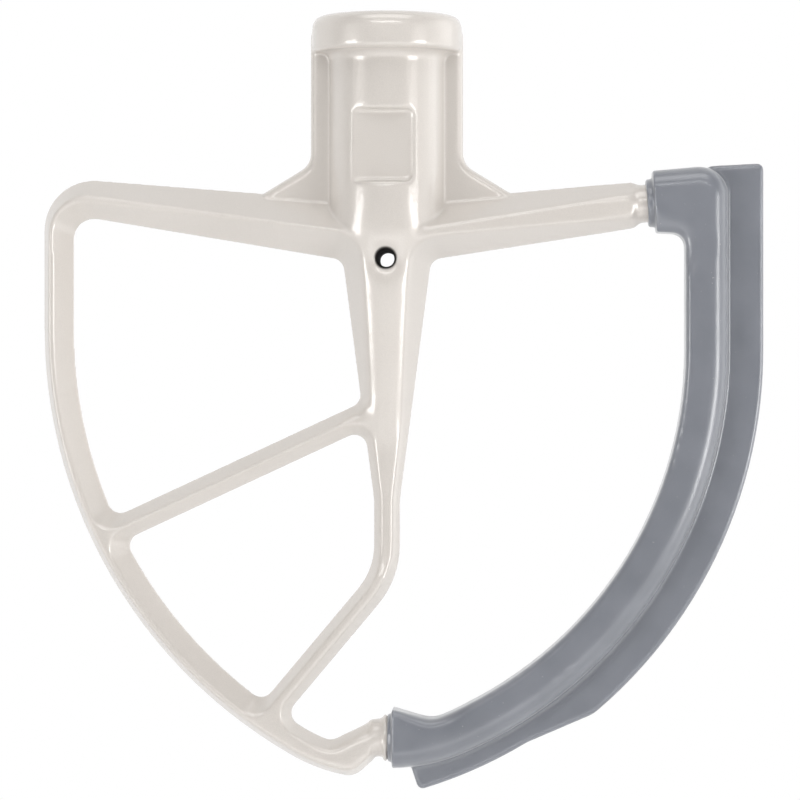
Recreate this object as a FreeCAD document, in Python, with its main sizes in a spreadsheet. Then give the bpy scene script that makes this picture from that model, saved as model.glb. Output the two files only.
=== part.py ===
import FreeCAD, Part
import math
import os

import Sketcher

# Flex edge beater for a stand mixer: a cast beater frame and the soft wiping edge moulded on its right arm.
# Millimetres. The origin is the centre of the shaft bore's mouth on top of the hub, +Z points up along the
# shaft, the beater lies in the XZ plane and its thickness runs along Y. Depths are measured down from the
# hub's top face. Both halves, in front of and behind the XZ plane, are alike.

doc = FreeCAD.newDocument("flex_edge_beater")

SIZES = [
    # hub
    ("collar_radius", 19.5),
    ("collar_height", 9.6),
    ("collar_round", 2.6),
    ("collar_under_round", 1.2),
    ("collar_fillet", 2.5),
    ("barrel_radius", 15.0),
    ("barrel_length", 56.0),
    ("stem_tip_radius", 4.4),
    ("stem_tip_depth", 116.0),
    # shaft bore, pin slot and drain
    ("bore_radius", 7.15),
    ("bore_depth", 50.0),
    ("slot_width", 6.0),
    ("slot_reach", 11.4),
    ("lock_depth", 34.0),
    ("lock_height", 6.6),
    ("lock_turn", 45.0),
    ("lock_seat_rise", 2.0),
    ("drain_radius", 2.1),
    ("drain_mouth_radius", 2.9),
    ("drain_flare", 10.0),
    ("drain_drop", 13.3),
    # flat panel sunk in the front of the barrel
    ("panel_width", 15.9),
    ("panel_height", 18.7),
    ("panel_depth", 34.3),
    ("panel_shift", 1.0),
    ("panel_floor", 12.3),
    ("panel_corner", 1.6),
    # side webs and their gussets
    ("web_half", 2.3),
    ("web_reach", 19.8),
    ("web_flat", 0.2),
    ("gusset_angle", 31.5),
    ("gusset_radius", 5.0),
    ("gusset_height", 10.0),
    # arms
    ("left_top_depth", 48.6),
    ("left_top_rise", 4.56),
    ("left_low_depth", 65.5),
    ("left_low_rise", 9.5),
    ("right_top_depth", 48.8),
    ("right_top_rise", 5.1),
    ("right_low_depth", 65.3),
    ("right_low_rise", 8.75),
    ("arm_root_half", 13.4),
    ("arm_block_rise", 4.0),
    ("left_top_lean", 34.5),
    ("left_low_lean", 30.5),
    ("right_top_lean", 32.0),
    ("right_low_lean", 26.0),
    ("tip_half", 5.4),
    ("tip_round", 2.4),
    # left loop
    ("plate_half", 5.3),
    ("loop_left", 89.4),
    ("loop_width", 8.0),
    ("loop_depth", 81.36),
    ("loop_sag", 10.66),
    ("loop_low_radius", 44.66),
    ("loop_low_shift", 2.6),
    ("loop_corner", 13.0),
    ("loop_inner_corner", 5.2),
    ("loop_outer_lean", 18.6),
    ("loop_inner_lean", 44.0),
    # stem, rod, brace and strut
    ("stem_half", 11.2),
    ("stem_drop", 1.1),
    ("stem_run", 24.7),
    ("stem_lean", 25.0),
    ("rod_width", 7.0),
    ("rod_bend_drop", 44.1),
    ("rod_bend_radius", 21.0),
    ("brace_foot", 29.35),
    ("strut_width", 6.9),
    ("strut_angle", 24.9),
    ("strut_depth", 101.0),
    ("strut_lean", 31.5),
    ("crotch_radius", 3.2),
    # lower end of the loop
    ("end_half", 5.3),
    ("end_top_angle", 27.6),
    ("end_low_angle", 42.0),
    ("end_round", 1.8),
    ("end_low_round", 5.0),
    ("valley_radius", 4.0),
    ("end_top_lean", 27.0),
    ("end_lean", 15.0),
    # room that blanks and cutters have past the metal
    ("tip_room", 20.0),
    ("front_room", 1.0),
    ("side_room", 1.0),
    # necks, flange and the bar inside the soft edge
    ("neck_radius", 4.95),
    ("neck_rise", 4.15),
    ("neck_gap", 1.6),
    ("neck_length", 9.0),
    ("low_neck_drop", 1.43),
    ("low_neck_gap", 2.0),
    ("low_neck_length", 8.0),
    ("neck_sink", 2.0),
    ("flange_radius", 6.2),
    ("flange_width", 1.0),
    ("bar_radius", 3.6),
    ("bar_elbow", 7.0),
    ("bar_low_radius", 45.0),
    # soft edge: sleeve and blade run round one centre
    ("edge_centre_depth", 87.0),
    ("elbow_reach", 8.0),
    ("sleeve_inner_radius", 102.7),
    ("sleeve_width", 11.1),
    ("sleeve_half", 7.0),
    ("sleeve_low_radius", 50.4),
    ("sleeve_outer_round", 4.8),
    ("sleeve_inner_round", 1.9),
    ("sleeve_top_rise", 5.0),
    ("sleeve_elbow", 7.5),
    ("sleeve_under_fall", 3.0),
    ("sleeve_under_radius", 3.4),
    ("mouth_shift", 69.3),
    ("mouth_top_half", 8.3),
    ("mouth_low_half", 7.7),
    ("low_mouth_shift", 1.3),
    ("low_mouth_half", 7.8),
    ("low_mouth_fall", 15.0),
    ("low_valley_radius", 4.0),
    ("lip_step", 0.75),
    ("lip_width", 1.9),
    ("low_lip_width", 1.2),
    ("blade_width", 20.4),
    ("blade_low_width", 16.4),
    ("blade_half", 1.2),
    ("blade_flat", 0.2),
    ("blade_top_step", 2.0),
    ("blade_top_rise", 2.9),
    ("blade_corner", 1.6),
    ("blade_end_run", 5.7),
    ("blade_end_drop", 9.9),
    ("blade_end_angle", 72.0),
    ("step_turn", 53.6),
    ("step_skew", 13.1),
    ("step_radius", 9.0),
]

# Places that follow from the sizes, so that what seats or lines up moves together
FOLLOWERS = [
    ("drain_depth", "bore_depth + drain_drop"),
    ("web_round", "web_half - web_flat"),
    ("gusset_depth", "left_top_depth - gusset_height"),
    ("gusset_reach", "web_reach + gusset_height / tan(gusset_angle)"),
    ("arm_block_depth", "left_low_depth - arm_block_rise"),
    # the right arm ends short of the sleeve's mouth, and its neck runs on between its two edges
    ("right_tip", "mouth_shift - lip_width - neck_gap"),
    ("neck_place", "(right_tip + mouth_shift) / 2"),
    ("neck_depth", "(right_top_depth + right_low_depth - neck_place * (tan(right_top_rise) + tan(right_low_rise))) / 2"),
    ("mouth_depth", "neck_depth - (mouth_shift - neck_place) * tan(neck_rise)"),
    ("sleeve_top_depth", "mouth_depth - mouth_top_half"),
    ("sleeve_under_depth", "mouth_depth + mouth_low_half"),
    ("lip_radius", "sleeve_half - lip_step"),
    # the low neck meets the sleeve's lower mouth, where the ring of the soft edge comes down to it
    ("edge_centre_shift", "sleeve_inner_radius - mouth_shift - elbow_reach"),
    ("ring_drop", "sqrt(sleeve_inner_radius^2 - (low_mouth_shift + edge_centre_shift)^2)"),
    ("low_neck_depth", "edge_centre_depth + ring_drop + low_neck_drop"),
    ("low_mouth_top", "low_neck_depth - low_mouth_half"),
    ("low_mouth_bottom", "low_neck_depth + low_mouth_half"),
    ("end_shift", "low_lip_width + flange_width + low_neck_gap - low_mouth_shift"),
    # the loop's two arcs run from its straight side to its lowest point, just below the low neck
    ("loop_low_depth", "low_neck_depth + loop_sag"),
    ("loop_half", "loop_left - loop_low_shift"),
    ("loop_fall", "loop_low_depth - loop_low_radius - loop_depth"),
    ("loop_radius", "(loop_fall^2 + loop_half^2 - loop_low_radius^2) / (2 * (loop_half - loop_low_radius))"),
    # the stem narrows to the rod below the strut, and the brace turns off to its foot on the loop
    ("stem_depth", "left_low_depth + stem_drop"),
    ("stem_end", "strut_depth + stem_run"),
    ("stem_taper", "atan((stem_half - rod_width / 2) / (stem_end - stem_depth)) / 1 deg"),
    ("rod_bend_depth", "strut_depth + rod_bend_drop"),
    ("foot_drop", "sqrt((loop_radius - loop_width)^2 - (loop_radius - loop_left + brace_foot)^2)"),
    ("rod_angle", "atan((loop_depth + foot_drop - rod_bend_depth) / brace_foot) / 1 deg"),
    # the blade follows the sleeve's rings and ends
    ("blade_round", "blade_half - blade_flat"),
    ("blade_top_depth", "sleeve_top_depth - blade_top_step"),
    ("blade_end_shift", "low_mouth_shift + blade_end_run"),
    ("blade_end_depth", "low_neck_depth + blade_end_drop"),
    ("step_ring", "sleeve_inner_radius + (blade_width + blade_low_width) / 2"),
    ("step_shift", "step_ring * cos(step_turn) - edge_centre_shift"),
    ("step_depth", "edge_centre_depth + step_ring * sin(step_turn)"),
    ("step_angle", "90 - step_turn - step_skew"),
]

sheet = doc.addObject("Spreadsheet::Sheet", "Sizes")
cells = [(alias, str(number)) for alias, number in SIZES] + [(alias, f"={text}") for alias, text in FOLLOWERS]
for row, (alias, content) in enumerate(cells, start=1):
    sheet.set(f"A{row}", alias)
    sheet.set(f"B{row}", content)
    sheet.setAlias(f"B{row}", alias)
doc.recompute()

CLOSE = 0.001  # places nearer than this are one place


def value(expression):
    """The number that a sheet expression stands for."""
    return float(sheet.evalExpression(str(expression)))


def named(text):
    """Write sheet names in an expression: [name] becomes Sizes.name."""
    return str(text).replace("[", "Sizes.").replace("]", "")


# Outlines: each is a closed run of sides in the XZ plane, joined by tangent corner arcs.


def line(x, z, angle, lean="0"):
    """A straight side through (x, z) heading along angle; lean is how far it slopes toward the middle."""
    return {"kind": "line", "x": named(x), "z": named(z), "angle": named(angle), "lean": named(lean)}


def arc(x, z, radius, turn=1, lean="0", bind="xzr"):
    """A round side about (x, z); turn is 1 when it runs anticlockwise."""
    return {"kind": "arc", "x": named(x), "z": named(z), "radius": named(radius), "turn": turn,
            "lean": named(lean), "bind": bind}


def corner(turn, radius, far_radius=None, pick=(0, 0)):
    """A rounded corner: turn 1 bends left; pick is the direction in which the wanted meeting point lies."""
    far = radius if far_radius is None else far_radius
    return {"turn": turn, "radius": named(radius), "far": named(far), "pick": pick}


SMOOTH = "smooth"
SHARP = corner(0, "0")


def moved(side, distance, toward):
    """The side shifted by its lean at a distance from the middle plane, to its left (1) or right (-1)."""
    shift = f"({distance}) * tan({side['lean']}) * {toward}"
    copy = dict(side)
    if side["kind"] == "line":
        copy["x"] = f"{side['x']} - {shift} * sin({side['angle']})"
        copy["z"] = f"{side['z']} + {shift} * cos({side['angle']})"
    else:
        copy["radius"] = f"{side['radius']} - {shift} * {side['turn']}"
    return copy


def meet(first, second, offset, pick):
    """Where two sides meet once both are shifted to their left by offset."""
    def shape(side):
        x = value(side["x"])
        z = value(side["z"])
        if side["kind"] == "line":
            angle = math.radians(value(side["angle"]))
            return ("line", x - offset * math.sin(angle), z + offset * math.cos(angle), angle)
        return ("arc", x, z, value(side["radius"]) - offset * side["turn"])

    one = shape(first)
    two = shape(second)
    if one[0] == "arc" and two[0] == "line":
        one, two = two, one
    if one[0] == "line" and two[0] == "line":
        across = math.sin(two[3] - one[3])
        along = ((two[1] - one[1]) * math.sin(two[3]) - (two[2] - one[2]) * math.cos(two[3])) / across
        return FreeCAD.Vector(one[1] + along * math.cos(one[3]), one[2] + along * math.sin(one[3]), 0)
    if one[0] == "line":
        middle = (two[1] - one[1]) * math.cos(one[3]) + (two[2] - one[2]) * math.sin(one[3])
        base = FreeCAD.Vector(one[1] + middle * math.cos(one[3]), one[2] + middle * math.sin(one[3]), 0)
        gap = math.hypot(base.x - two[1], base.y - two[2])
        reach = math.sqrt(two[3] ** 2 - gap ** 2)
        step = FreeCAD.Vector(math.cos(one[3]), math.sin(one[3]), 0) * reach
        points = [base + step, base - step]
    else:
        apart = math.hypot(two[1] - one[1], two[2] - one[2])
        along = (apart ** 2 + one[3] ** 2 - two[3] ** 2) / (2 * apart)
        reach = math.sqrt(one[3] ** 2 - along ** 2)
        way = FreeCAD.Vector((two[1] - one[1]) / apart, (two[2] - one[2]) / apart, 0)
        base = FreeCAD.Vector(one[1], one[2], 0) + way * along
        step = FreeCAD.Vector(-way.y, way.x, 0) * reach
        points = [base + step, base - step]
    return max(points, key=lambda point: point.x * pick[0] + point.y * pick[1])


def foot(side, point):
    """The point of a side nearest to a corner's centre."""
    x = value(side["x"])
    z = value(side["z"])
    if side["kind"] == "line":
        angle = math.radians(value(side["angle"]))
        along = (point.x - x) * math.cos(angle) + (point.y - z) * math.sin(angle)
        return FreeCAD.Vector(x + along * math.cos(angle), z + along * math.sin(angle), 0)
    radius = value(side["radius"])
    way = math.atan2(point.y - z, point.x - x)
    return FreeCAD.Vector(x + radius * math.cos(way), z + radius * math.sin(way), 0)


def touch(first, second):
    """The point where two sides that run smoothly into each other touch."""
    if first["kind"] == "line":
        return foot(first, FreeCAD.Vector(value(second["x"]), value(second["z"]), 0))
    if second["kind"] == "line":
        return foot(second, FreeCAD.Vector(value(first["x"]), value(first["z"]), 0))
    big, small = (first, second) if value(first["radius"]) > value(second["radius"]) else (second, first)
    return foot(big, FreeCAD.Vector(value(small["x"]), value(small["z"]), 0))


def run_sketch(name, sides, joints, y_place="0", toward=0, ends=None):
    """A sketch of sides and joints in a plane parallel to XZ; ends gives the x of an open run's two ends."""
    distance = named(y_place)
    if toward:
        sides = [moved(side, distance, toward) for side in sides]
    sketch = doc.addObject("Sketcher::SketchObject", name)
    sketch.Placement = FreeCAD.Placement(FreeCAD.Vector(0, -value(distance), 0),
                                         FreeCAD.Rotation(FreeCAD.Vector(1, 0, 0), 90))
    sketch.setExpression(".Placement.Base.y", f"-({distance})")

    count = len(sides)
    starts = [None] * count
    finishes = [None] * count
    corners = []
    for index, joint in enumerate(joints):
        first = sides[index]
        second = sides[(index + 1) % count]
        if joint == SMOOTH:
            place = touch(first, second)
            finishes[index] = place
            starts[(index + 1) % count] = place
            corners.append(None)
            continue
        if joint["turn"] == 0:
            place = meet(first, second, 0, joint["pick"])
            finishes[index] = place
            starts[(index + 1) % count] = place
            corners.append(None)
            continue
        radius = value(joint["far"] if toward else joint["radius"])
        centre = meet(first, second, radius * joint["turn"], joint["pick"])
        finishes[index] = foot(first, centre)
        starts[(index + 1) % count] = foot(second, centre)
        corners.append((centre, radius, joint["turn"], joint["far"] if toward else joint["radius"]))
    if ends:
        for place, side, spot in ((starts, 0, ends[0]), (finishes, count - 1, ends[1])):
            angle = math.radians(value(sides[side]["angle"]))
            along = (value(named(spot)) - value(sides[side]["x"])) / math.cos(angle)
            place[side] = FreeCAD.Vector(value(named(spot)), value(sides[side]["z"]) + along * math.sin(angle), 0)

    def add_arc(centre, radius, turn, begin, finish):
        first = math.atan2(begin.y - centre.y, begin.x - centre.x)
        last = math.atan2(finish.y - centre.y, finish.x - centre.x)
        if turn < 0:
            first, last = last, first
        while last <= first:
            last += 2 * math.pi
        circle = Part.Circle(centre, FreeCAD.Vector(0, 0, 1), radius)
        return sketch.addGeometry(Part.ArcOfCircle(circle, first, last), False)

    order = []
    links = []
    corner_geo = {}
    for index, side in enumerate(sides):
        if side["kind"] == "line":
            geo = sketch.addGeometry(Part.LineSegment(starts[index], finishes[index]), False)
            turn = 1
        else:
            centre = FreeCAD.Vector(value(side["x"]), value(side["z"]), 0)
            turn = side["turn"]
            geo = add_arc(centre, value(side["radius"]), turn, starts[index], finishes[index])
        order.append((geo, turn))
        if index >= len(joints):
            continue
        if corners[index]:
            centre, radius, turn, _ = corners[index]
            geo = add_arc(centre, radius, turn, finishes[index], starts[(index + 1) % count])
            links.append("Tangent")
            order.append((geo, turn))
            corner_geo[index] = geo
        sharp = joints[index] != SMOOTH and joints[index]["turn"] == 0
        links.append("Coincident" if sharp else "Tangent")

    def bound(constraint, expression):
        number = sketch.addConstraint(constraint)
        sketch.setExpression(f"Constraints[{number}]", expression)

    for place, link in enumerate(links):
        first, first_turn = order[place]
        second, second_turn = order[(place + 1) % len(order)]
        sketch.addConstraint(Sketcher.Constraint(link, first, 2 if first_turn > 0 else 1,
                                                 second, 1 if second_turn > 0 else 2))
    for index, side in enumerate(sides):
        geo = order[index + sum(1 for key in corner_geo if key < index)][0]
        if side["kind"] == "line":
            bound(Sketcher.Constraint("Angle", geo, math.radians(value(side["angle"]))),
                  f"({side['angle']}) * 1 deg")
            gap = f"abs(({side['x']}) * sin({side['angle']}) - ({side['z']}) * cos({side['angle']}))"
            if value(gap) > CLOSE:
                bound(Sketcher.Constraint("Distance", -1, 1, geo, value(gap)), gap)
            else:
                sketch.addConstraint(Sketcher.Constraint("PointOnObject", -1, 1, geo))
        else:
            if "x" in side["bind"]:
                bound(Sketcher.Constraint("DistanceX", -1, 1, geo, 3, value(side["x"])), side["x"])
            if "z" in side["bind"]:
                bound(Sketcher.Constraint("DistanceY", -1, 1, geo, 3, value(side["z"])), side["z"])
            if "r" in side["bind"]:
                bound(Sketcher.Constraint("Radius", geo, value(side["radius"])), side["radius"])
        if index in corner_geo:
            bound(Sketcher.Constraint("Radius", corner_geo[index], corners[index][1]), corners[index][3])
    if ends:
        for geo, end, spot in ((order[0][0], 1, ends[0]), (order[-1][0], 2, ends[1])):
            bound(Sketcher.Constraint("DistanceX", -1, 1, geo, end, value(named(spot))), named(spot))
    return sketch


# Sides of the cast frame at the middle plane

half_rod = "[rod_width] / 2"
strut_rise = "[strut_width] / 2 / cos([strut_angle])"
loop_x = "[loop_radius] - [loop_left]"
low_z = "[loop_low_radius] - [loop_low_depth]"

left_top = line("0", "-[left_top_depth]", "180 - [left_top_rise]", "[left_top_lean]")
left_low = line("0", "-[left_low_depth]", "180 - [left_low_rise]", "[left_low_lean]")
right_top = line("0", "-[right_top_depth]", "180 + [right_top_rise]", "[right_top_lean]")
right_low = line("0", "-[right_low_depth]", "180 + [right_low_rise]", "[right_low_lean]")

loop_side = line("-[loop_left]", "-[loop_depth]", "-90", "[loop_outer_lean]")
loop_arc = arc(loop_x, "-[loop_depth]", "[loop_radius]", 1, "[loop_outer_lean]", "zr")
loop_low_arc = arc("-[loop_low_shift]", low_z, "[loop_low_radius]", 1, "[loop_outer_lean]", "xr")
inner_side = line("[loop_width] - [loop_left]", "-[loop_depth]", "-90", "[loop_inner_lean]")
inner_arc = arc(loop_x, "-[loop_depth]", "[loop_radius] - [loop_width]", 1, "[loop_inner_lean]", "zr")
inner_arc_alone = arc(loop_x, "-[loop_depth]", "[loop_radius] - [loop_width]", 1, "[loop_inner_lean]")
inner_low_arc = arc("-[loop_low_shift]", low_z, "[loop_low_radius] - [loop_width]", 1, "[end_top_lean]")

end_low = line("-[end_shift]", "-[low_neck_depth] - [end_half]", "[end_low_angle]", "[loop_outer_lean]")
end_top = line("-[end_shift]", "-[low_neck_depth] + [end_half]", "[end_top_angle]", "[end_top_lean]")
end_face_up = line("-[end_shift]", "-[low_neck_depth]", "90", "[end_lean]")
end_face_down = line("-[end_shift]", "-[low_neck_depth]", "-90", "[end_lean]")
tip_face_up = line("[right_tip]", "-[neck_depth]", "90", "[end_lean]")
tip_face_down = line("[right_tip]", "-[neck_depth]", "-90", "[end_lean]")

stem_left = line("-[stem_half]", "-[stem_depth]", "90 + [stem_taper]", "[stem_lean]")
stem_right = line("[stem_half]", "-[stem_depth]", "-90 - [stem_taper]", "[stem_lean]")
rod_left = line(f"-{half_rod}", "-[rod_bend_depth]", "90", "[stem_lean]")
rod_right = line(half_rod, "-[rod_bend_depth]", "-90", "[stem_lean]")
brace_left = line(f"-{half_rod} * sin([rod_angle])", f"-[rod_bend_depth] + {half_rod} * cos([rod_angle])",
                  "[rod_angle]", "[stem_lean]")
brace_right = line(f"{half_rod} * sin([rod_angle])", f"-[rod_bend_depth] - {half_rod} * cos([rod_angle])",
                   "[rod_angle] + 180", "[stem_lean]")
strut_top = line("0", f"-[strut_depth] + {strut_rise}", "[strut_angle]", "[strut_lean]")
strut_low = line("0", f"-[strut_depth] - {strut_rise}", "[strut_angle] + 180", "[strut_lean]")

# Lines that only close an outline where there is no metal
below_end = line("0", "-[low_neck_depth] - [tip_room]", "0")
beyond_tip = line("[right_tip] + [tip_room]", "0", "90")
above_end = line("0", "-[low_neck_depth] + [end_half]", "0")
beside_tip = line("0", "-[neck_depth] + [end_half]", "180")

# The leaned outlines lie in front of everything that they cut
cut_half = "max([barrel_radius]; [arm_root_half]) + [front_room]"
grow = f"({cut_half}) * tan([stem_lean])"
crotch = corner(1, "[crotch_radius]", f"[crotch_radius] + {grow}")
plain_left = corner(1, "[end_round]")
plain_right = corner(-1, "[end_round]")


def pick(joint, *way):
    """The same corner where its two sides meet twice: way is the direction of the meeting that is meant."""
    return dict(joint, pick=way)


OUTER = ([left_top, loop_side, loop_arc, loop_low_arc, end_low, end_face_up, above_end, tip_face_up, right_top],
         [corner(1, "[loop_corner]", "[loop_corner] / 2"), SMOOTH, SMOOTH,
          pick(corner(1, "[end_low_round]"), 0, -1), plain_left, plain_right, plain_left,
          corner(1, "[tip_round]"), plain_right])
UPPER_WINDOW = ([strut_top, stem_left, left_low, inner_side, inner_arc],
                [crotch, crotch, corner(1, "[loop_inner_corner]", f"[loop_inner_corner] + {grow}"), SMOOTH,
                 pick(crotch, -1, 0)])
LOWER_WINDOW = ([brace_left, rod_left, stem_left, strut_low, inner_arc_alone],
                [corner(1, f"[rod_bend_radius] - {half_rod}", f"[rod_bend_radius] - {half_rod} + {grow}"),
                 corner(1, "[rod_bend_radius]", f"[rod_bend_radius] + {grow}"), crotch,
                 pick(crotch, -1, 0), pick(crotch, 0, -1)])
RIGHT_WINDOW = ([stem_right, rod_right, brace_right, inner_low_arc, end_top, end_face_down, below_end, beyond_tip,
                 beside_tip, tip_face_down, right_low],
                [corner(1, "[rod_bend_radius]", f"[rod_bend_radius] + {grow}"),
                 corner(-1, f"[rod_bend_radius] + {half_rod}", f"[rod_bend_radius] + {half_rod} - {grow}"),
                 pick(crotch, 0, -1), pick(corner(1, "[valley_radius]", "[valley_radius] + [end_round]"), -1, 0),
                 plain_right, plain_left, plain_left, plain_left, plain_left, corner(-1, "[tip_round]"), crotch])


def add(kind, name, numbers=None, **links):
    """A document object with its links set and its sizes bound to sheet expressions."""
    made = doc.addObject(kind, name)
    for key, target in links.items():
        setattr(made, key, target)
    for key, expression in (numbers or {}).items():
        made.setExpression(key, named(expression))
    return made


def loft(name, outline, toward):
    """A solid from an outline at the middle plane to the same outline, leaned, in front, and its mirror."""
    middle = run_sketch(f"{name}_middle", *outline)
    front = run_sketch(f"{name}_front", *outline, y_place=cut_half, toward=toward)
    half = add("Part::Loft", f"{name}_half", Sections=[middle, front], Solid=True, Ruled=True)
    mirror = add("Part::Mirroring", f"{name}_back", Source=half, Normal=FreeCAD.Vector(0, 1, 0))
    return add("Part::MultiFuse", name, Shapes=[half, mirror])


def plate(name, outline, front, back, y_place="0"):
    """An outline extruded by front and back from its plane."""
    sketch = run_sketch(f"{name}_outline", *outline, y_place=y_place)
    return add("Part::Extrusion", name, {"LengthFwd": front, "LengthRev": back}, Base=sketch, DirMode="Normal",
               Solid=True)


outer = loft("outer", OUTER, 1)
upper_window = loft("upper_window", UPPER_WINDOW, -1)
lower_window = loft("lower_window", LOWER_WINDOW, -1)
right_window = loft("right_window", RIGHT_WINDOW, -1)
doc.recompute()

# Thickness of the casting

low_reach = "[low_neck_depth] + [tip_room]"
slab = add("Part::Box", "slab", {"Length": "[loop_left] + [right_tip] + 2 * [side_room]",
                                 "Width": "2 * [plate_half]", "Height": low_reach,
                                 ".Placement.Base.x": "-[loop_left] - [side_room]",
                                 ".Placement.Base.y": "-[plate_half]", ".Placement.Base.z": f"-({low_reach})"})


def arm_block(name, reach, tip_half, turn):
    """The thickness of one arm: widest at the hub, narrowing evenly outward."""
    made = add("Part::Wedge", name, {"Ymin": "0", "Ymax": reach, "Xmin": "-[arm_root_half]",
                                     "Xmax": "[arm_root_half]", "X2min": f"-{tip_half}", "X2max": tip_half,
                                     "Zmin": "-[arm_block_depth]", "Z2min": "-[arm_block_depth]",
                                     "Zmax": "-[collar_height]", "Z2max": "-[collar_height]"})
    made.Placement.Rotation = FreeCAD.Rotation(FreeCAD.Vector(0, 0, 1), turn)
    return made


left_block = arm_block("left_block", "[loop_left] + [side_room]", "[plate_half]", 90)
right_block = arm_block("right_block", "[right_tip] + [side_room]", "[tip_half]", -90)
blank = add("Part::MultiFuse", "blank", Shapes=[slab, left_block, right_block])
trimmed = add("Part::MultiCommon", "trimmed", Shapes=[blank, outer])

# Hub: collar, barrel and the round front of the stem, turned about the shaft axis

top = line("0", "0", "180")
axis = line("0", "-[collar_height]", "-90")
stem_tip = line("0", "-[stem_tip_depth]", "0")
cone_angle = "atan(([barrel_radius] - [stem_tip_radius]) / ([stem_tip_depth] - [barrel_length])) / 1 deg"
cone = line("[barrel_radius]", "-[barrel_length]", f"90 - ({cone_angle})")
barrel_side = line("[barrel_radius]", "-[barrel_length]", "90")
collar_under = line("0", "-[collar_height]", "0")
collar_side = line("[collar_radius]", "-[collar_height]", "90")
HUB = ([top, axis, stem_tip, cone, barrel_side, collar_under, collar_side],
       [SHARP, SHARP, SHARP, SHARP, corner(-1, "[collar_fillet]"), corner(1, "[collar_under_round]"),
        corner(1, "[collar_round]")])
hub = add("Part::Revolution", "hub", Source=run_sketch("hub_outline", *HUB), Axis=FreeCAD.Vector(0, 0, 1),
          Angle=360, Solid=True)

cast = add("Part::MultiFuse", "cast", Shapes=[trimmed, hub])
opened = cast
for window in (upper_window, lower_window, right_window):
    opened = add("Part::Cut", f"{window.Name}_open", Base=opened, Tool=window)

# Side webs with their gussets, one plate through the hub

web_left = line("-[web_reach]", "-[gusset_depth]", "-90")
gusset_left = line("-[web_reach]", "-[gusset_depth]", "180 + [gusset_angle]")
gusset_end_left = line("-[gusset_reach]", "-[gusset_depth]", "-90")
web_low = line("0", "-[left_top_depth] - [web_half]", "0")
gusset_end_right = line("[gusset_reach]", "-[gusset_depth]", "90")
gusset_right = line("[web_reach]", "-[gusset_depth]", "180 - [gusset_angle]")
web_right = line("[web_reach]", "-[gusset_depth]", "90")
web_top = line("0", "-[collar_height] / 2", "180")
gusset_bend = corner(-1, "[gusset_radius]")
WEB = ([web_left, gusset_left, gusset_end_left, web_low, gusset_end_right, gusset_right, web_right, web_top],
       [gusset_bend, SHARP, SHARP, SHARP, SHARP, gusset_bend, SHARP, SHARP])
web = plate("web", WEB, "[web_half]", "[web_half]")


def rounded(name, base, radius, wanted):
    """The base with the edges that wanted picks rounded."""
    doc.recompute()
    made = add("Part::Fillet", name, Base=base)
    size = value(named(radius))
    made.Edges = [(number, size, size) for number, edge in enumerate(base.Shape.Edges, start=1) if wanted(edge)]
    return made


def edge_middle(edge):
    return edge.valueAt((edge.FirstParameter + edge.LastParameter) / 2)


def on_web_rim(edge):
    """Edges of the plate's two faces that run down the webs and the gussets."""
    spot = edge_middle(edge)
    half = value(named("[web_half]"))
    flat = all(abs(abs(vertex.Point.y) - half) < CLOSE for vertex in edge.Vertexes)
    return (flat and edge.BoundBox.YLength < CLOSE and edge.BoundBox.ZLength > CLOSE
            and value(named("[web_reach]")) - CLOSE < abs(spot.x) < value(named("[gusset_reach]")) - CLOSE)


web_rounded = rounded("web_rounded", web, "[web_round]", on_web_rim)

# Necks, flange and the bar that runs on inside the soft edge


def rod_along(name, radius, length, x, z, rise):
    """A round rod from (x, z) heading right and up by rise degrees."""
    made = add("Part::Cylinder", name, {"Radius": radius, "Height": length, ".Placement.Base.x": x,
                                        ".Placement.Base.z": z})
    made.Placement.Rotation = FreeCAD.Rotation(FreeCAD.Vector(0, 1, 0), 90)
    made.setExpression(".Placement.Rotation.Angle", named(f"90 - ({rise})"))
    return made


neck = rod_along("neck", "[neck_radius]", "[neck_length]", "[neck_place] - [neck_length] / 2",
                 "-[neck_depth] - [neck_length] / 2 * tan([neck_rise])", "[neck_rise]")
low_neck = rod_along("low_neck", "[neck_radius]", "[low_neck_length]", "[low_mouth_shift] + [neck_sink] - "
                     "[low_neck_length]", "-[low_neck_depth]", "0")
flange = rod_along("flange", "[flange_radius]", "[flange_width]", "[low_mouth_shift] - [low_lip_width] - "
                   "[flange_width]", "-[low_neck_depth]", "0")

centre_x = "-[edge_centre_shift]"
centre_z = "-[edge_centre_depth]"
bar_ring = "[sleeve_inner_radius] + [sleeve_width] / 2"
bar_low_z = "-[low_neck_depth] + [bar_low_radius]"
bar_low_x = (f"{centre_x} + sqrt(({bar_ring} - [bar_low_radius])^2"
             f" - ({centre_z} - ({bar_low_z}))^2)")
BAR = ([line("[neck_place]", "-[neck_depth]", "[neck_rise]"), line(f"{centre_x} + {bar_ring}", "0", "-90"),
        arc(centre_x, centre_z, bar_ring, -1, bind="zr"), arc(bar_low_x, bar_low_z, "[bar_low_radius]", -1, bind="r"),
        line("0", "-[low_neck_depth]", "180")],
       [corner(-1, "[bar_elbow]"), SMOOTH, SMOOTH, SMOOTH])
bar_path = run_sketch("bar_path", *BAR, ends=("[neck_place]", "-[end_shift]"))
bar_round = add("Part::Circle", "bar_round", {"Radius": "[bar_radius]", ".Placement.Base.x": "[neck_place]",
                                              ".Placement.Base.z": "-[neck_depth]"})
bar_round.Placement.Rotation = FreeCAD.Rotation(FreeCAD.Vector(0, 1, 0), 90)
bar_round.setExpression(".Placement.Rotation.Angle", named("90 - [neck_rise]"))
doc.recompute()
bar = add("Part::Sweep", "bar", Sections=[bar_round], Solid=True, Frenet=True,
          Spine=(bar_path, [f"Edge{number}" for number in range(1, len(bar_path.Shape.Edges) + 1)]))

# Recess, bore, pin slot with its turn, and drain

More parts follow.
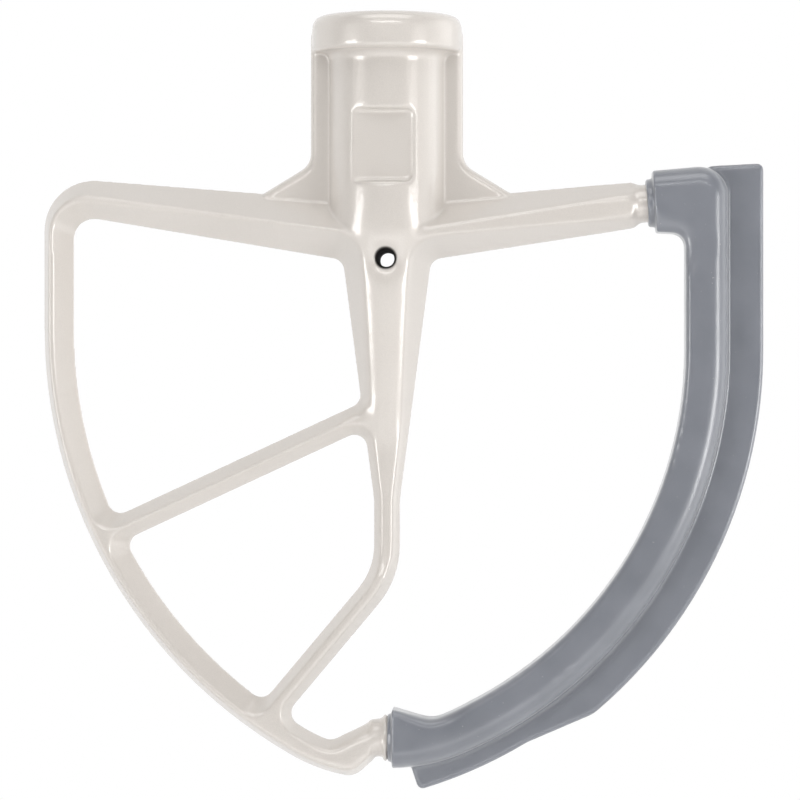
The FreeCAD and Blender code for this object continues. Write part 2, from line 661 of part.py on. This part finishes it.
panel_left = line("-[panel_shift] - [panel_width] / 2", "-[panel_depth]", "-90")
panel_low = line("0", "-[panel_depth] - [panel_height] / 2", "0")
panel_right = line("-[panel_shift] + [panel_width] / 2", "-[panel_depth]", "90")
panel_top = line("0", "-[panel_depth] + [panel_height] / 2", "180")
panel_bend = corner(1, "[panel_corner]")
PANEL = ([panel_left, panel_low, panel_right, panel_top], [panel_bend, panel_bend, panel_bend, panel_bend])
panel = plate("panel", PANEL, "[barrel_radius]", "0", y_place="[panel_floor]")

bore = add("Part::Cylinder", "bore", {"Radius": "[bore_radius]", "Height": "[bore_depth]",
                                      ".Placement.Base.z": "-[bore_depth]"})
slot_depth = "[lock_depth] + [lock_height] / 2"
slot = add("Part::Box", "slot", {"Length": "[slot_width]", "Width": "[slot_reach]", "Height": slot_depth,
                                 ".Placement.Base.x": "-[slot_width] / 2", ".Placement.Base.z": f"-({slot_depth})"})
slot_turn = "2 * asin([slot_width] / 2 / [slot_reach])"


def lock_sector(name, turn, first, height, depth):
    """A sector round the shaft axis that the driving pin turns in."""
    made = add("Part::Cylinder", name, {"Radius": "[slot_reach]", "Height": height, "Angle": turn,
                                        ".Placement.Base.z": f"-({depth})"})
    made.Placement.Rotation = FreeCAD.Rotation(FreeCAD.Vector(0, 0, 1), 90)
    made.setExpression(".Placement.Rotation.Angle", named(first))
    return made


lock_way = lock_sector("lock_way", f"{slot_turn} + [lock_turn] * 1 deg", f"90 deg - {slot_turn} / 2",
                       "[lock_height]", slot_depth)
lock_seat = lock_sector("lock_seat", slot_turn, f"90 deg - {slot_turn} / 2 + [lock_turn] * 1 deg",
                        "[lock_height] + [lock_seat_rise]", slot_depth)
drain_down = add("Part::Cylinder", "drain_down", {"Radius": "[drain_radius]",
                                                  "Height": "[drain_depth] - [bore_depth] / 2",
                                                  ".Placement.Base.z": "-[drain_depth]"})
drain = add("Part::Cylinder", "drain", {"Radius": "[drain_radius]", "Height": "2 * [collar_radius]",
                                        ".Placement.Base.y": "[collar_radius]", ".Placement.Base.z": "-[drain_depth]"})
drain.Placement.Rotation = FreeCAD.Rotation(FreeCAD.Vector(1, 0, 0), 90)
drain_mouth = add("Part::Cone", "drain_mouth", {"Radius1": "[drain_mouth_radius]", "Radius2": "[drain_radius]",
                                                "Height": "[drain_flare]", ".Placement.Base.y": "-[barrel_radius]",
                                                ".Placement.Base.z": "-[drain_depth]"})
drain_mouth.Placement.Rotation = FreeCAD.Rotation(FreeCAD.Vector(1, 0, 0), -90)

solid_frame = add("Part::MultiFuse", "solid_frame", Shapes=[opened, web_rounded, neck, low_neck, flange, bar])
hollows = add("Part::MultiFuse", "hollows", Shapes=[panel, bore, slot, lock_way, lock_seat, drain_down, drain,
                                                 drain_mouth])
frame = add("Part::Cut", "frame", Base=solid_frame, Tool=hollows)
frame.Label = "beater_frame"

# Soft edge: sleeve round the bar, lips at its mouths, and the blade

outer_ring = "[sleeve_inner_radius] + [sleeve_width]"
low_outer_z = "-[low_mouth_bottom] + [sleeve_low_radius]"
low_outer_x = (f"{centre_x} + sqrt(({outer_ring} - [sleeve_low_radius])^2"
               f" - ({centre_z} - ({low_outer_z}))^2)")
SLEEVE = ([line("[low_mouth_shift]", "-[low_neck_depth]", "-90"),
           arc(low_outer_x, low_outer_z, "[sleeve_low_radius]", 1, bind="xr"),
           arc(centre_x, centre_z, outer_ring, 1, bind="zr"),
           line(f"{centre_x} + {outer_ring}", "0", "90"),
           line("[mouth_shift]", "-[sleeve_top_depth]", "180 + [sleeve_top_rise]"),
           line("[mouth_shift]", "-[mouth_depth]", "[neck_rise] - 90"),
           line("[mouth_shift]", "-[sleeve_under_depth]", "-[sleeve_under_fall]"),
           line(f"{centre_x} + [sleeve_inner_radius]", "0", "-90"),
           arc(centre_x, centre_z, "[sleeve_inner_radius]", -1, bind="zr"),
           line("[low_mouth_shift]", "-[low_mouth_top]", "180 - [low_mouth_fall]")],
          [pick(SHARP, 0, -1), SMOOTH, SMOOTH, corner(1, "[sleeve_elbow]"), SHARP, SHARP,
           corner(-1, "[sleeve_under_radius]"), SMOOTH, pick(corner(-1, "[low_valley_radius]"), 1, 0), SHARP])
sleeve = plate("sleeve", SLEEVE, "[sleeve_half]", "[sleeve_half]")

low_ring = "[sleeve_inner_radius] + [blade_low_width]"
blade_ring = "[sleeve_inner_radius] + [blade_width]"
blade_bend = corner(1, "[blade_corner]")
BLADE = ([line("[blade_end_shift]", "-[blade_end_depth]", "-[blade_end_angle]"),
          arc(centre_x, centre_z, low_ring, 1),
          line("[step_shift]", "-[step_depth]", "[step_angle]"),
          arc(centre_x, centre_z, blade_ring, 1, bind="zr"),
          line(f"{centre_x} + {blade_ring}", "0", "90"),
          line(f"{centre_x} + {blade_ring}", "-[blade_top_depth]", "180 + [blade_top_rise]"),
          line(f"{centre_x} + {bar_ring}", "0", "-90"),
          arc(centre_x, centre_z, bar_ring, -1, bind="zr")],
         [pick(blade_bend, 0, -1), pick(corner(-1, "[step_radius]"), 1, 0), pick(corner(1, "[step_radius]"), 1, 0),
          SMOOTH, blade_bend, blade_bend, SMOOTH, pick(blade_bend, 0, -1)])
blade = plate("blade", BLADE, "[blade_half]", "[blade_half]")


def on_face_rim(edge, half):
    """Edges of a plate's front and back faces."""
    box = edge.BoundBox
    return box.YLength < CLOSE and abs(abs(box.YMin) - half) < CLOSE


def at_mouth(edge, shift, depth, rise):
    """Edges that lie in the sleeve's mouth at (shift, -depth), whose way in rises by rise degrees."""
    angle = math.radians(value(named(rise)))
    gaps = [(vertex.Point.x - value(named(shift))) * math.cos(angle)
            + (vertex.Point.z + value(named(depth))) * math.sin(angle) for vertex in edge.Vertexes]
    return all(abs(gap) < CLOSE for gap in gaps)


def on_sleeve(edge, outside):
    """Edges of the sleeve's faces on its outer or inner side, without those of its two mouths."""
    if at_mouth(edge, "[mouth_shift]", "[mouth_depth]", "[neck_rise]"):
        return False
    if at_mouth(edge, "[low_mouth_shift]", "[low_neck_depth]", "0"):
        return False
    spot = edge_middle(edge)
    reach = math.hypot(spot.x - value(named(centre_x)), spot.z - value(named(centre_z)))
    return on_face_rim(edge, value(named("[sleeve_half]"))) and (reach > value(named(bar_ring))) == outside


sleeve_outside = rounded("sleeve_outside", sleeve, "[sleeve_outer_round]", lambda edge: on_sleeve(edge, True))
sleeve_inside = rounded("sleeve_inside", sleeve_outside, "[sleeve_inner_round]",
                        lambda edge: on_sleeve(edge, False))
blade_rounded = rounded("blade_rounded", blade, "[blade_round]",
                        lambda edge: on_face_rim(edge, value(named("[blade_half]"))))
lip = rod_along("lip", "[lip_radius]", "[lip_width] + [neck_sink]", "[mouth_shift] - [lip_width]",
                "-[neck_depth] + ([mouth_shift] - [lip_width] - [neck_place]) * tan([neck_rise])", "[neck_rise]")
low_lip = rod_along("low_lip", "[lip_radius]", "[low_lip_width] + [neck_sink]",
                    "[low_mouth_shift] - [low_lip_width]", "-[low_neck_depth]", "0")
solid_edge = add("Part::MultiFuse", "solid_edge", Shapes=[sleeve_inside, blade_rounded, lip, low_lip])
edge = add("Part::Cut", "edge", Base=solid_edge, Tool=frame)
edge.Label = "flex_edge"

# Check and write both pieces

doc.recompute()
for made in doc.Objects:
    if "Invalid" in made.State or "Error" in made.State:
        raise RuntimeError(f"{made.Name} failed: {made.State}")

os.makedirs("parts", exist_ok=True)
for piece in (frame, edge):
    shape = piece.Shape
    if shape.isNull() or not shape.isValid() or len(shape.Solids) != 1:
        raise RuntimeError(f"{piece.Label} is not one valid solid")
    shape.exportStep(f"parts/{piece.Label}.step")
    print(piece.Label, round(shape.Volume, 1), "mm3")
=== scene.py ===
import math

import bpy
import numpy as np
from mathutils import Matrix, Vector


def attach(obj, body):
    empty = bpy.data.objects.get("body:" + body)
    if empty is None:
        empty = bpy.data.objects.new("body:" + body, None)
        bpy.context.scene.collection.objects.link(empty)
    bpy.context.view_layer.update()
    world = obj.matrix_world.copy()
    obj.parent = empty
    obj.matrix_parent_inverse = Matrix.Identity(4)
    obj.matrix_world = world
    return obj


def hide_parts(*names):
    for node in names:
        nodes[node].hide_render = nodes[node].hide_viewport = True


# Looks of the flex edge beater: a cast frame in pearl enamel and a soft grey wiping edge on its right arm.
# Metres, in the CAD frame: Z up along the mixer shaft, the beater in the XZ plane, seen along +Y.

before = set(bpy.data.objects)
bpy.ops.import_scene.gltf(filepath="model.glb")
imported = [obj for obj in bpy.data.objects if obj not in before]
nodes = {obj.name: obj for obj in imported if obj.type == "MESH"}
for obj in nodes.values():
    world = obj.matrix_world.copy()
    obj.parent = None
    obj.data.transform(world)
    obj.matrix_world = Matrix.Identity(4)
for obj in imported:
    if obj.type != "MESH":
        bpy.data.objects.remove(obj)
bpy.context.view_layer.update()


# Meshes

VOXEL = 0.0003  # grid of the fine meshes
FITS = 3  # how often a fine mesh is laid back on the CAD surface
FIT_ROUNDS = 2  # rounds of smoothing before each of these
STEP = 0.5  # part of the way to its neighbours' middle that a point moves in one round
CORE = 1.5  # slope of the easing: full out to a third of its reach, none at the end
TINY = 1e-12  # keeps a way of no length from dividing by zero


def soft_copy(source, name, rounds, faces, eased):
    """A fine even mesh on a CAD node's surface, its hard edges worn round, as paint or a mould does."""
    mesh = nodes[source].data.copy()
    mesh.name = name
    piece = bpy.data.objects.new(name, mesh)
    bpy.context.scene.collection.objects.link(piece)
    remesh = piece.modifiers.new("skin", "REMESH")
    remesh.mode = "VOXEL"
    remesh.voxel_size = VOXEL
    bake(piece)
    for _ in range(FITS):
        smooth(piece.data, FIT_ROUNDS)
        wrap = piece.modifiers.new("wrap", "SHRINKWRAP")
        wrap.target = nodes[source]
        wrap.wrap_method = "NEAREST_SURFACEPOINT"
        bake(piece)
    smooth(piece.data, rounds)
    for place in eased:
        ease(piece.data, *place)
    thin = piece.modifiers.new("thin", "DECIMATE")
    count = sum(len(polygon.vertices) - 2 for polygon in piece.data.polygons)
    thin.ratio = min(1.0, faces / count)
    bake(piece)
    for polygon in piece.data.polygons:
        polygon.use_smooth = True
    return piece


def bake(piece):
    """Apply the modifiers of a piece."""
    graph = bpy.context.evaluated_depsgraph_get()
    mesh = bpy.data.meshes.new_from_object(piece.evaluated_get(graph))
    old = piece.data
    piece.modifiers.clear()
    piece.data = mesh
    bpy.data.meshes.remove(old)
    mesh.name = piece.name


def read_mesh(mesh):
    """The points of a mesh, a row each, and its edges as pairs of rows."""
    points = np.empty(len(mesh.vertices) * 3)
    mesh.vertices.foreach_get("co", points)
    edges = np.empty(len(mesh.edges) * 2, dtype=np.int64)
    mesh.edges.foreach_get("vertices", edges)
    return points.reshape(-1, 3), edges.reshape(-1, 2)


def write_mesh(mesh, points):
    mesh.vertices.foreach_set("co", points.ravel())
    mesh.update()


def neighbours(edges):
    """Every point with an edge and the point at its other end, each edge taken both ways."""
    return np.concatenate([edges[:, 0], edges[:, 1]]), np.concatenate([edges[:, 1], edges[:, 0]])


def smooth(mesh, rounds):
    """Move every point towards the middle of its neighbours, several times."""
    points, edges = read_mesh(mesh)
    first, second = neighbours(edges)
    count = len(points)
    degree = np.maximum(np.bincount(first, minlength=count), 1)
    for _ in range(rounds):
        middle = np.stack([np.bincount(first, weights=points[second, axis], minlength=count) / degree
                           for axis in range(3)], axis=1)
        points += (middle - points) * STEP
    write_mesh(mesh, points)


def ease(mesh, start, end, reach, rounds, axes):
    """Smooth along some axes by the way from start to end, both (x, z), and less so out to the reach."""
    points, edges = read_mesh(mesh)
    flat = points[:, [0, 2]] - start
    way = np.subtract(end, start)
    along = np.clip(flat @ way / max(way @ way, TINY), 0.0, 1.0)
    away = np.linalg.norm(flat - along[:, None] * way, axis=1)
    share = np.clip(CORE - CORE * away / reach, 0.0, 1.0)
    share = share * share * (3.0 - 2.0 * share)
    first, second = neighbours(edges[(share[edges] > 0.0).all(axis=1)])
    near, first = np.unique(first, return_inverse=True)
    second = np.searchsorted(near, second)
    degree = np.bincount(first)
    place = points[near]
    for _ in range(rounds):
        for axis in axes:
            middle = np.bincount(first, weights=place[second, axis]) / degree
            place[:, axis] += (middle - place[:, axis]) * share[near] * STEP
    points[near] = place
    write_mesh(mesh, points)


# Places worn rounder than the rest: start, end, reach, rounds and axes. Along Y alone, the outline stays.
BACK = (1,)
ALL = (0, 1, 2)
STEM = ((0.0, -0.059), (0.0, -0.134), 0.0120, 600, BACK)
COLLAR = ((-0.022, 0.0015), (0.022, 0.0015), 0.0065, 110, ALL)
PLATE = ((0.0, -0.0195), (0.0, -0.041), 0.0115, 14, BACK)
LOW_END = ((-0.012, -0.187), (-0.004, -0.184), 0.0095, 200, BACK)
LOW_SHOULDER = ((-0.007, -0.183), (-0.004, -0.184), 0.0060, 40, ALL)
ARM_END = ((0.0615, -0.049), (0.0645, -0.049), 0.0085, 30, ALL)
ELBOW = ((0.0755, -0.0570), (0.0775, -0.0590), 0.0090, 400, BACK)
VALLEY = ((0.0125, -0.1826), (0.0125, -0.1826), 0.0100, 150, ALL)

casting = soft_copy("beater_frame", "casting", rounds=12, faces=190000,
                    eased=[STEM, COLLAR, PLATE, LOW_END, LOW_SHOULDER, ARM_END])
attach(casting, "root")
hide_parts("beater_frame")

wiper = soft_copy("flex_edge", "wiper", rounds=10, faces=150000, eased=[ELBOW, VALLEY])
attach(wiper, "root")
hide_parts("flex_edge")


# Shader nodes

FACTOR, FIRST, SECOND, MIXED = 0, 6, 7, 2  # sockets of a mix node that mixes colours


def clear_tree(owner):
    """The node tree of a material or a world, emptied."""
    owner.use_nodes = True
    owner.node_tree.nodes.clear()
    return owner.node_tree


def node(tree, kind, feeds, **settings):
    """A node with its settings made and each input in feeds linked to an output or given a value."""
    made = tree.nodes.new(kind)
    for key, setting in settings.items():
        setattr(made, key, setting)
    for socket, feed in feeds.items():
        if isinstance(feed, bpy.types.NodeSocket):
            tree.links.new(feed, made.inputs[socket])
        else:
            made.inputs[socket].default_value = feed
    return made


def coordinates(tree, kind):
    return node(tree, "ShaderNodeTexCoord", {}).outputs[kind]


def noise(tree, place, scale, detail):
    feeds = {"Vector": place, "Scale": scale, "Detail": detail, "Roughness": 0.5}
    return node(tree, "ShaderNodeTexNoise", feeds).outputs["Fac"]


def grey(level):
    return (level, level, level)


def ramp(tree, source, *stops):
    """A colour ramp with two (place, colour) stops."""
    made = node(tree, "ShaderNodeValToRGB", {"Fac": source})
    for element, (spot, colour) in zip(made.color_ramp.elements, stops):
        element.position = spot
        element.color = (*colour, 1.0)
    return made.outputs["Color"]


def mix(tree, kind, share, first, second):
    feeds = {FACTOR: share, FIRST: first, SECOND: second}
    return node(tree, "ShaderNodeMix", feeds, data_type="RGBA", blend_type=kind).outputs[MIXED]


def maths(tree, operation, first, second):
    return node(tree, "ShaderNodeMath", {0: first, 1: second}, operation=operation).outputs[0]


def vector_maths(tree, operation, *feeds):
    return node(tree, "ShaderNodeVectorMath", dict(enumerate(feeds)), operation=operation).outputs


def fade(tree, value, start, end, low, high):
    """A soft change from low, where the value is start, to high, where it is end."""
    feeds = {"Value": value, "From Min": start, "From Max": end, "To Min": low, "To Max": high}
    return node(tree, "ShaderNodeMapRange", feeds, interpolation_type="SMOOTHSTEP").outputs["Result"]


def bump(tree, height, strength, distance):
    feeds = {"Height": height, "Strength": strength, "Distance": distance}
    return node(tree, "ShaderNodeBump", feeds).outputs["Normal"]


def rays(tree, *kinds):
    """1 for the kinds of ray named and 0 for the others."""
    path = node(tree, "ShaderNodeLightPath", {})
    chosen = path.outputs[kinds[0]]
    for kind in kinds[1:]:
        chosen = maths(tree, "MAXIMUM", chosen, path.outputs[kind])
    return chosen


def blend(tree, kind, share, first, second):
    """Two shaders mixed and put out through a node of the kind named."""
    mixed = node(tree, "ShaderNodeMixShader", {0: share, 1: first.outputs[0], 2: second.outputs[0]})
    node(tree, kind, {"Surface": mixed.outputs[0]})


# Materials

DRAIN = (0.0, 0.0, -0.0633)  # middle of the small round hole at the foot of the hub, on the plane Y = 0
DRAIN_SHADE_EDGE = (0.0025, 0.0033)  # radii between which the painted shade on its wall fades into enamel


def finished(name, build):
    """A material whose principled surface is fed by what build makes of its tree and the place in it."""
    material = bpy.data.materials.new(name)
    tree = clear_tree(material)
    surface = node(tree, "ShaderNodeBsdfPrincipled", build(tree, coordinates(tree, "Object")))
    node(tree, "ShaderNodeOutputMaterial", {"Surface": surface.outputs["BSDF"]})
    return material


def enamel(tree, place):
    """Pearl enamel: warm pale body, fine flake, slight orange peel under clear gloss, painted shade in the
    drain.
    """
    cloud = ramp(tree, noise(tree, place, 28.0, 3.0),
                 (0.3, (0.620, 0.579, 0.538)), (0.7, (0.640, 0.600, 0.559)))
    flake = ramp(tree, noise(tree, place, 5200.0, 1.0), (0.35, grey(0.965)), (0.65, grey(1.035)))
    pearl = mix(tree, "MULTIPLY", 1.0, cloud, flake)
    flat = vector_maths(tree, "MULTIPLY", place, (1.0, 0.0, 1.0))[0]
    from_drain = vector_maths(tree, "DISTANCE", flat, DRAIN)["Value"]
    outside_drain_shade = fade(tree, from_drain, *DRAIN_SHADE_EDGE, 0.0, 1.0)
    peel = bump(tree, noise(tree, place, 800.0, 3.0), 0.2, 0.00012)
    return {
        # painted shade: the drain's wall is coloured near black in place of the shade inside the hole, and
        # its gloss is taken off too
        "Base Color": mix(tree, "MIX", outside_drain_shade, (0.03, 0.026, 0.024, 1.0), pearl),
        "Metallic": 0.10,
        "Roughness": ramp(tree, noise(tree, place, 160.0, 3.0), (0.3, grey(0.30)), (0.7, grey(0.36))),
        "Specular IOR Level": maths(tree, "MULTIPLY", outside_drain_shade, 0.35),
        "Coat Weight": maths(tree, "MULTIPLY", outside_drain_shade, 0.8),
        "Coat Roughness": 0.09,
        "Coat IOR": 1.5,
        "Normal": peel,
        "Coat Normal": peel,
    }


def silicone(tree, place):
    """Grey silicone: satin, with a faint mottling and pale dust."""
    body = ramp(tree, noise(tree, place, 90.0, 3.0),
                (0.3, (0.168, 0.178, 0.203)), (0.7, (0.196, 0.206, 0.234)))
    dust = ramp(tree, noise(tree, place, 1500.0, 1.0), (0.77, grey(0.0)), (0.83, grey(0.7)))
    return {
        "Base Color": mix(tree, "MIX", dust, body, (0.42, 0.42, 0.43, 1.0)),
        "Roughness": ramp(tree, noise(tree, place, 240.0, 1.0), (0.3, grey(0.28)), (0.7, grey(0.33))),
        "Specular IOR Level": 1.0,
        "Sheen Weight": 0.5,
        "Sheen Roughness": 0.42,
        "Coat Weight": 0.25,
        "Coat Roughness": 0.30,
        "Subsurface Weight": 0.3,
        "Subsurface Radius": (1.0, 1.0, 1.1),
        "Subsurface Scale": 0.003,
        "Normal": bump(tree, noise(tree, place, 2600.0, 3.0), 0.12, 0.00006),
    }


def dress(piece, material):
    piece.data.materials.clear()
    piece.data.materials.append(material)


dress(casting, finished("pearl_enamel", enamel))
dress(wiper, finished("grey_silicone", silicone))


# Stage, light and camera

FLOOR = -0.6  # height of the paper under the object
HALF = 2.5  # half the side of the paper
MIDDLE = Vector((0.00338, 0.0, -0.09984))  # middle of the object
TURN = math.radians(1.6)  # how far to the right of straight ahead the camera stands
DISTANCE = 1.04  # from the middle of the object to the camera


def paper_white():
    """White paper that keeps a shadow near the object and runs out into plain white further off."""
    material = bpy.data.materials.new("white_paper")
    tree = clear_tree(material)
    flat = vector_maths(tree, "MULTIPLY", coordinates(tree, "Object"), (1.0, 1.0, 0.0))[0]
    away = vector_maths(tree, "LENGTH", flat)["Value"]
    share = maths(tree, "MULTIPLY", rays(tree, "Is Camera Ray", "Is Glossy Ray", "Is Transmission Ray"),
                  fade(tree, away, 0.14, 0.48, 0.62, 1.0))
    paper = node(tree, "ShaderNodeBsdfDiffuse", {"Color": (0.9, 0.9, 0.9, 1.0)})
    glow = node(tree, "ShaderNodeEmission", {"Strength": 1.0})
    blend(tree, "ShaderNodeOutputMaterial", share, paper, glow)
    return material


def floor_below(z, half):
    mesh = bpy.data.meshes.new("floor")
    corners = [(-half, -half, z), (half, -half, z), (half, half, z), (-half, half, z)]
    mesh.from_pydata(corners, [], [(0, 1, 2, 3)])
    made = bpy.data.objects.new("floor", mesh)
    bpy.context.scene.collection.objects.link(made)
    made.data.materials.append(paper_white())


def surround():
    """A world that lights the object more from behind than from the front, and is seen as plain white."""
    world = bpy.data.worlds.new("surround")
    tree = clear_tree(world)
    heading = node(tree, "ShaderNodeSeparateXYZ", {0: coordinates(tree, "Generated")}).outputs["Y"]
    sweep = fade(tree, heading, -0.18, 0.18, 0.22, 1.0)
    white = (1.0, 1.0, 1.0, 1.0)
    ambient = node(tree, "ShaderNodeBackground", {"Color": white, "Strength": sweep})
    plain = node(tree, "ShaderNodeBackground", {"Color": white, "Strength": 1.0})
    blend(tree, "ShaderNodeOutputWorld", rays(tree, "Is Camera Ray", "Is Transmission Ray"), ambient, plain)
    bpy.context.scene.world = world


def softbox(name, azimuth, elevation, distance, wide, high, power):
    """A rectangular lamp aimed at the object; azimuth 0 is at the camera, positive to the right."""
    light = bpy.data.lights.new(name, "AREA")
    light.shape = "RECTANGLE"
    light.size = wide
    light.size_y = high
    light.energy = power
    made = bpy.data.objects.new(name, light)
    bpy.context.scene.collection.objects.link(made)
    turn = math.radians(azimuth)
    rise = math.radians(elevation)
    way = Vector((math.sin(turn) * math.cos(rise), -math.cos(turn) * math.cos(rise), math.sin(rise)))
    made.location = MIDDLE + way * distance
    made.rotation_euler = (-way).to_track_quat("-Z", "Y").to_euler()


floor_below(FLOOR, HALF)
surround()

softbox("left_box", -54.0, -5.0, 1.0, 0.30, 0.40, 2.8)
softbox("right_box", 54.0, -5.0, 1.0, 0.30, 0.40, 3.5)
softbox("side_panel", 95.0, 0.0, 0.9, 0.8, 1.0, 2.2)
softbox("top_strip", 0.0, 24.0, 1.0, 0.8, 0.08, 1.5)
softbox("top_panel", 0.0, 62.0, 0.9, 0.9, 0.5, 3.2)
softbox("low_strip", 0.0, -28.0, 0.9, 0.9, 0.20, 0.6)

lens = bpy.data.cameras.new("camera")
lens.lens = 180.0
lens.sensor_width = 36.0
lens.clip_end = 20.0
camera = bpy.data.objects.new("camera", lens)
bpy.context.scene.collection.objects.link(camera)
camera.location = MIDDLE + Vector((math.sin(TURN), -math.cos(TURN), 0.0)) * DISTANCE
camera.rotation_euler = (math.radians(90), 0.0, TURN)
bpy.context.scene.camera = camera

bpy.context.scene.view_settings.view_transform = "Standard"
